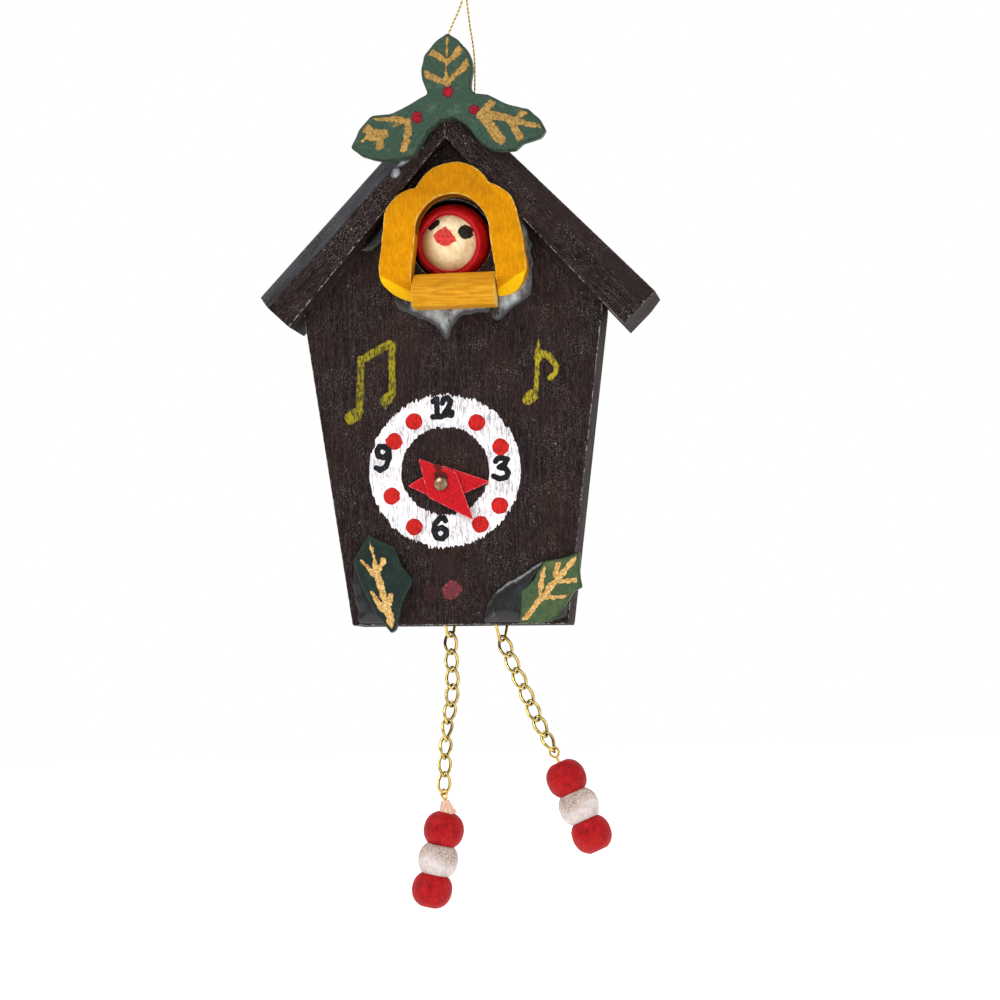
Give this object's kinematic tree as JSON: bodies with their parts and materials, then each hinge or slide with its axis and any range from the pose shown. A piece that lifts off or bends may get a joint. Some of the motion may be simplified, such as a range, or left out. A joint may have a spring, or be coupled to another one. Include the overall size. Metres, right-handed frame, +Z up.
{
  "type": "cuckoo clock ornament",
  "caption": "Small painted wooden hanging ornament in the shape of a cuckoo clock, with a hooded bird in an arched window, turning hands, holly leaves and bead weights on gold chains.",
  "frame": {"origin": "top of the thread loop that the ornament hangs by", "axes": "+Z up, +Y towards the flat back, -Y towards the viewer"},
  "size_m": [0.0599, 0.0164, 0.1501],
  "materials": {
    "black_wood": "thin brown-black paint over vertical grain, worn at the edges",
    "holly_wood": "satin green paint",
    "yellow_wood": "ochre stain over visible grain",
    "bare_wood": "smooth bare wood",
    "red_felt": "fuzzy felt",
    "red_wood": "red paint on thin veneer",
    "bead_red": "worn red paint",
    "bead_white": "worn white paint",
    "peg_wood": "bare wood stained pink",
    "nail_brass": "dull",
    "gold_wire": "bright gold plate",
    "gold_thread": "metallic twisted thread",
    "clear_glue": "dried clear glue"
  },
  "bodies": {
    "root": {"body_block": "black_wood", "roof_left": "black_wood", "roof_right": "black_wood", "holly_sprig": "holly_wood", "window_frame": "yellow_wood", "window_sill": "yellow_wood", "bird_head": "bare_wood", "bird_hood": "red_felt", "leaf_left": "holly_wood", "leaf_right": "holly_wood", "hand_nail": "nail_brass", "staple_left": "gold_wire", "staple_right": "gold_wire", "hanging_thread": "gold_thread", "thread_glue": "clear_glue"},
    "hour_hand": {"hour_hand": "red_wood"},
    "minute_hand": {"minute_hand": "red_wood"},
    "link_left_1": {"link_left_1": "gold_wire"},
    "link_left_2": {"link_left_2": "gold_wire"},
    "link_left_3": {"link_left_3": "gold_wire"},
    "link_left_4": {"link_left_4": "gold_wire"},
    "link_left_5": {"link_left_5": "gold_wire"},
    "link_left_6": {"link_left_6": "gold_wire"},
    "link_left_7": {"link_left_7": "gold_wire"},
    "link_left_8": {"link_left_8": "gold_wire"},
    "link_left_9": {"link_left_9": "gold_wire"},
    "pendant_left": {"eye_pin_left": "gold_wire", "bead_peg_left": "peg_wood", "bead_left_top": "bead_red", "bead_left_middle": "bead_white", "bead_left_bottom": "bead_red"},
    "link_right_1": {"link_right_1": "gold_wire"},
    "link_right_2": {"link_right_2": "gold_wire"},
    "link_right_3": {"link_right_3": "gold_wire"},
    "link_right_4": {"link_right_4": "gold_wire"},
    "link_right_5": {"link_right_5": "gold_wire"},
    "link_right_6": {"link_right_6": "gold_wire"},
    "link_right_7": {"link_right_7": "gold_wire"},
    "pendant_right": {"eye_pin_right": "gold_wire", "bead_right_top": "bead_red", "bead_right_middle": "bead_white", "bead_right_bottom": "bead_red"}
  },
  "joints": [
    {"name": "hour_hand_turn", "type": "hinge", "parent": "root", "child": "hour_hand", "pos_m": [-0.0058, -0.0006, -0.0865], "axis": [0, 1, 0], "continuous": true},
    {"name": "minute_hand_turn", "type": "hinge", "parent": "root", "child": "minute_hand", "pos_m": [-0.0058, -0.0006, -0.0865], "axis": [0, 1, 0], "continuous": true},
    {"name": "link_left_1_swing", "type": "hinge", "parent": "root", "child": "link_left_1", "pos_m": [-0.00585, 0.0044, -0.1089], "axis": [0, 1, 0], "range_deg": [-12, 30]},
    {"name": "link_left_2_swing", "type": "hinge", "parent": "link_left_1", "child": "link_left_2", "pos_m": [-0.0058, 0.0044, -0.11155], "axis": [0.9998, 0, 0.0175], "range_deg": [-10, 10]},
    {"name": "link_left_3_swing", "type": "hinge", "parent": "link_left_2", "child": "link_left_3", "pos_m": [-0.00576, 0.0044, -0.1142], "axis": [0, 1, 0], "range_deg": [-10, 10]},
    {"name": "link_left_4_swing", "type": "hinge", "parent": "link_left_3", "child": "link_left_4", "pos_m": [-0.00571, 0.0044, -0.11685], "axis": [0.9925, 0, -0.1219], "range_deg": [-10, 10]},
    {"name": "link_left_5_swing", "type": "hinge", "parent": "link_left_4", "child": "link_left_5", "pos_m": [-0.00603, 0.0044, -0.11948], "axis": [0, 1, 0], "range_deg": [-10, 10]},
    {"name": "link_left_6_swing", "type": "hinge", "parent": "link_left_5", "child": "link_left_6", "pos_m": [-0.00663, 0.0044, -0.12206], "axis": [0.9925, 0, -0.1219], "range_deg": [-10, 10]},
    {"name": "link_left_7_swing", "type": "hinge", "parent": "link_left_6", "child": "link_left_7", "pos_m": [-0.00695, 0.0044, -0.12469], "axis": [0, 1, 0], "range_deg": [-10, 10]},
    {"name": "link_left_8_swing", "type": "hinge", "parent": "link_left_7", "child": "link_left_8", "pos_m": [-0.00723, 0.0044, -0.12733], "axis": [0.9994, 0, -0.0349], "range_deg": [-10, 10]},
    {"name": "link_left_9_swing", "type": "hinge", "parent": "link_left_8", "child": "link_left_9", "pos_m": [-0.00732, 0.0044, -0.12998], "axis": [0, 1, 0], "range_deg": [-10, 10]},
    {"name": "pendant_left_swing", "type": "hinge", "parent": "link_left_9", "child": "pendant_left", "pos_m": [-0.00755, 0.0044, -0.13262], "axis": [1, 0, 0], "range_deg": [-12, 12]},
    {"name": "link_right_1_swing", "type": "hinge", "parent": "root", "child": "link_right_1", "pos_m": [0.002, 0.0044, -0.10975], "axis": [0, 1, 0], "range_deg": [-12, 30]},
    {"name": "link_right_2_swing", "type": "hinge", "parent": "link_right_1", "child": "link_right_2", "pos_m": [0.00291, 0.0044, -0.11224], "axis": [0.9272, 0, 0.3746], "range_deg": [-10, 10]},
    {"name": "link_right_3_swing", "type": "hinge", "parent": "link_right_2", "child": "link_right_3", "pos_m": [0.0039, 0.0044, -0.1147], "axis": [0, 1, 0], "range_deg": [-10, 10]},
    {"name": "link_right_4_swing", "type": "hinge", "parent": "link_right_3", "child": "link_right_4", "pos_m": [0.00493, 0.0044, -0.11714], "axis": [0.9272, 0, 0.3746], "range_deg": [-10, 10]},
    {"name": "link_right_5_swing", "type": "hinge", "parent": "link_right_4", "child": "link_right_5", "pos_m": [0.00593, 0.0044, -0.11959], "axis": [0, 1, 0], "range_deg": [-10, 10]},
    {"name": "link_right_6_swing", "type": "hinge", "parent": "link_right_5", "child": "link_right_6", "pos_m": [0.00692, 0.0044, -0.12205], "axis": [0.9063, 0, 0.4226], "range_deg": [-10, 10]},
    {"name": "link_right_7_swing", "type": "hinge", "parent": "link_right_6", "child": "link_right_7", "pos_m": [0.00804, 0.0044, -0.12445], "axis": [0, 1, 0], "range_deg": [-10, 10]},
    {"name": "pendant_right_swing", "type": "hinge", "parent": "link_right_7", "child": "pendant_right", "pos_m": [0.00924, 0.0044, -0.12681], "axis": [1, 0, 0], "range_deg": [-12, 12]}
  ]
}
